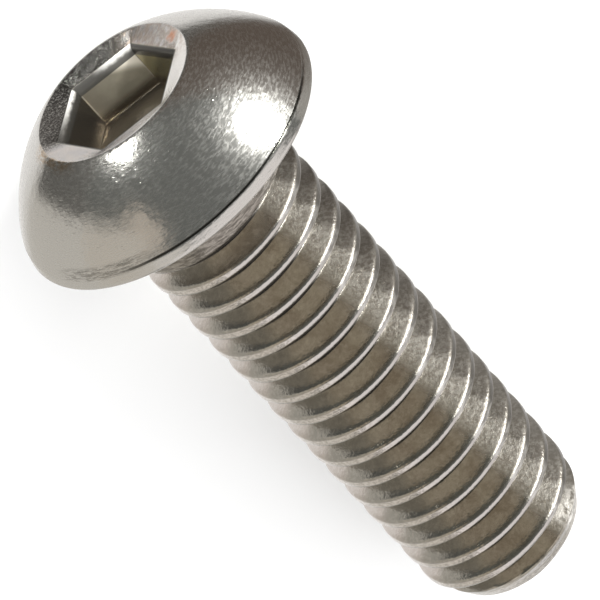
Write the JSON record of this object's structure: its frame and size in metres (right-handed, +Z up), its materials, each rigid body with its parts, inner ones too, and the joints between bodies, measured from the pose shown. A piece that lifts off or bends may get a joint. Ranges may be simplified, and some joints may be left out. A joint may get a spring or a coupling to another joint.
{
  "type": "button head socket screw",
  "caption": "Button head socket screw in polished stainless steel, fully threaded, with a domed head, a low band at its edge and a hexagon socket in a sunk rim.",
  "frame": {"origin": "centre of the bounding box at the level of the surface that the screw lies on", "axes": "+X along the lying screw towards its tip, +Z up; the screw's own axis leans 7.1 degrees from X, its head end raised"},
  "size_m": [0.0298, 0.0138, 0.0138],
  "materials": {
    "stainless_steel": "polished"
  },
  "bodies": {
    "root": {"screw": "stainless_steel"}
  },
  "joints": []
}
